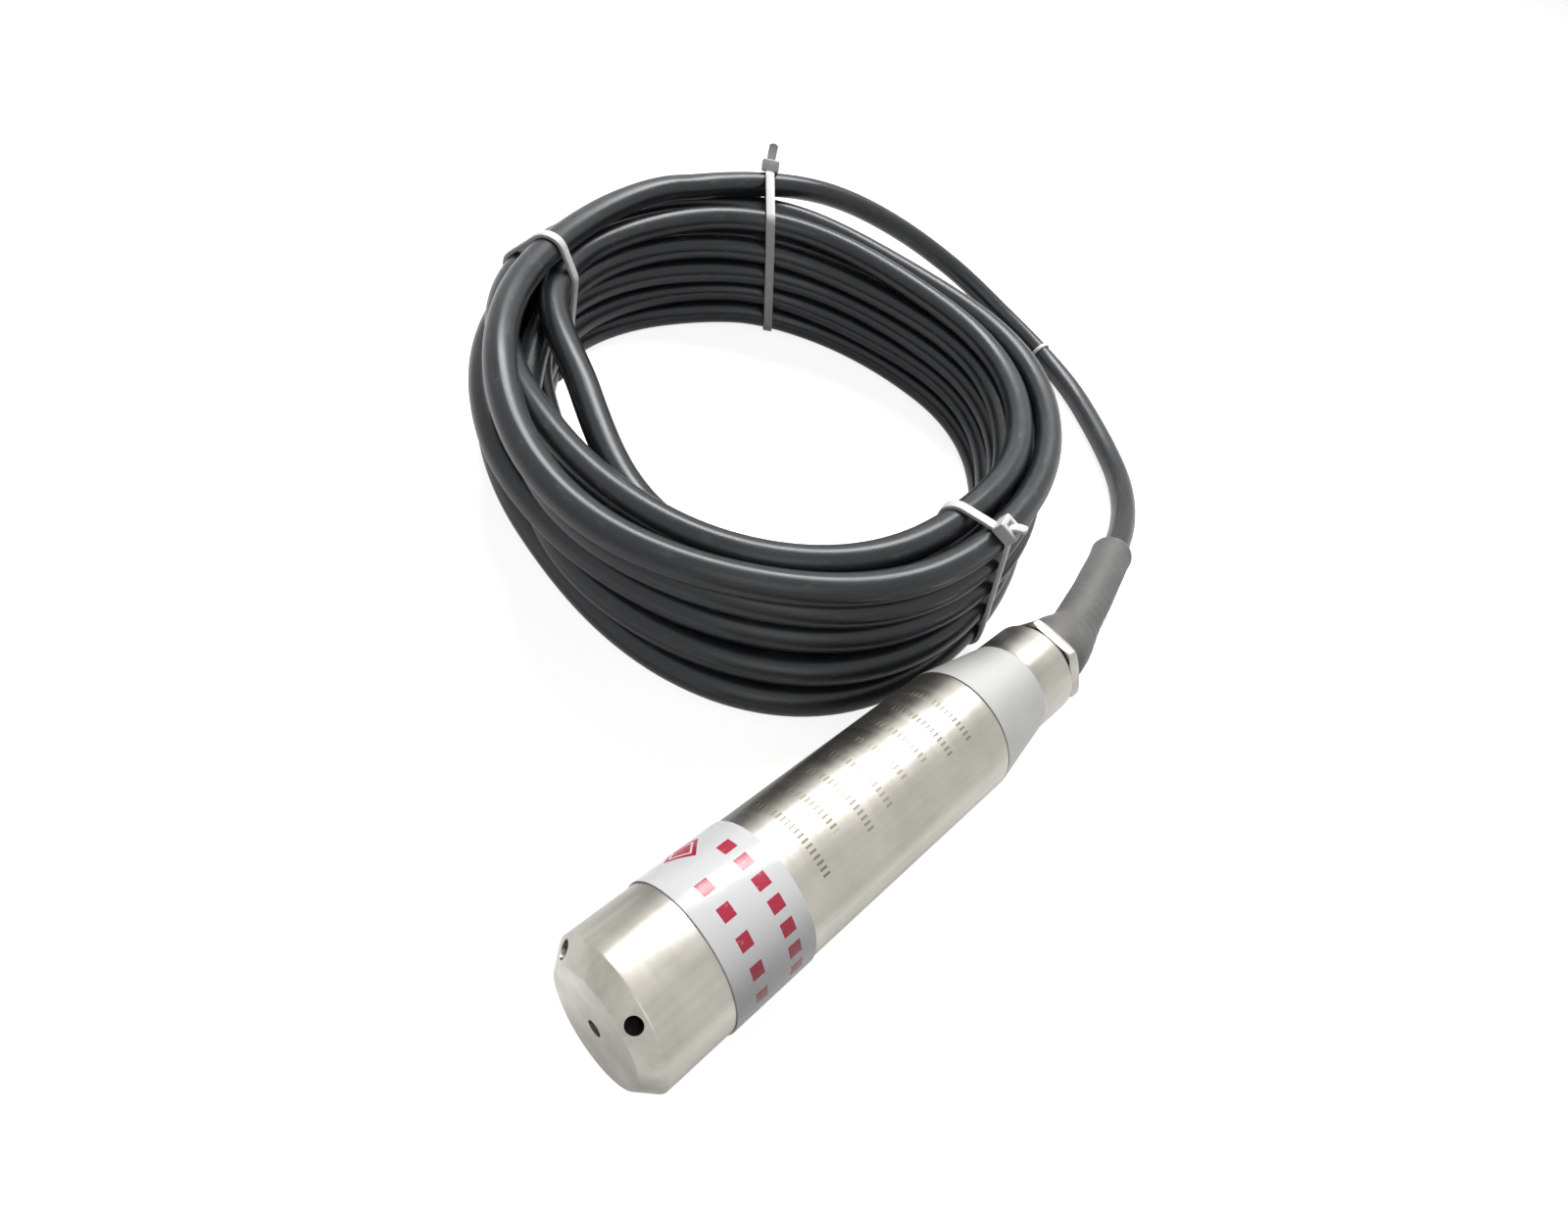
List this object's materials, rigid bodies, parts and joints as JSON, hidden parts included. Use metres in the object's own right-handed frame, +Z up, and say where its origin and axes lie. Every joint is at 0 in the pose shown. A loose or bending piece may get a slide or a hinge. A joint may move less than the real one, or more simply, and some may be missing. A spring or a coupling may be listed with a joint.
{
  "type": "submersible level transmitter",
  "caption": "Submersible hydrostatic level transmitter: a steel pressure probe lying on its side, with a sleeved cable entry and a tied coil of vented cable.",
  "frame": {"origin": "floor point under the middle of the steel probe, from its nose face to the gland nut's end", "axes": "+X along the probe from its nose to its cable end, +Z up, the coil lies on the +Y side"},
  "size_m": [0.2477, 0.1868, 0.0553],
  "materials": {
    "turned_steel": "bright turned stainless steel",
    "frosted_steel": "fine matt turned stainless steel",
    "sensor_steel": "satin stainless steel",
    "gilt_pins": "gilt",
    "brass": "turned brass",
    "printed_film": "glossy white film",
    "black_rubber": "matt black rubber",
    "cable_jacket": "smooth satin black jacket",
    "shrink_sleeve": "matt dark grey heat-shrink",
    "white_nylon": "white nylon",
    "board_laminate": "green lacquered board",
    "chip_resin": "black moulded resin",
    "trimmer_blue": "blue moulded plastic",
    "capacitor_resin": "amber moulded resin",
    "holder_plastic": "pale moulded plastic",
    "vent_tube_plastic": "pale smooth tube",
    "wire_red": "red wire insulation",
    "wire_black": "black wire insulation",
    "wire_yellow": "yellow wire insulation",
    "wire_blue": "blue wire insulation"
  },
  "bodies": {
    "root": {"amplifier_chip": "chip_resin", "board_holder_front": "holder_plastic", "board_holder_rear": "holder_plastic", "cable_coil": "cable_jacket", "cable_lead": "cable_jacket", "cable_marker": "white_nylon", "cable_pull_clamp": "brass", "cable_tie_far": "white_nylon", "cable_tie_left": "white_nylon", "cable_tie_near": "white_nylon", "cap_oring": "black_rubber", "circuit_board": "board_laminate", "converter_chip": "chip_resin", "core_return": "wire_blue", "core_supply": "wire_red", "gland_bush": "black_rubber", "gland_nut": "turned_steel", "gland_washer": "black_rubber", "header_pin_1": "gilt_pins", "header_pin_2": "gilt_pins", "header_pin_3": "gilt_pins", "header_pin_4": "gilt_pins", "housing_tube": "turned_steel", "nose_cap": "turned_steel", "reference_tube": "sensor_steel", "seal_band": "printed_film", "sensor_body": "sensor_steel", "sensor_diaphragm": "sensor_steel", "sensor_oring": "black_rubber", "sensor_retaining_ring": "turned_steel", "sensor_wire_1": "wire_red", "sensor_wire_2": "wire_black", "sensor_wire_3": "wire_yellow", "sensor_wire_4": "wire_blue", "shrink_sleeve": "shrink_sleeve", "smoothing_capacitor": "capacitor_resin", "span_trimmer": "trimmer_blue", "surge_suppressor": "chip_resin", "tail_fitting": "frosted_steel", "tail_oring": "black_rubber", "thrust_washer": "brass", "vent_tube": "vent_tube_plastic", "zero_trimmer": "trimmer_blue"}
  },
  "joints": []
}
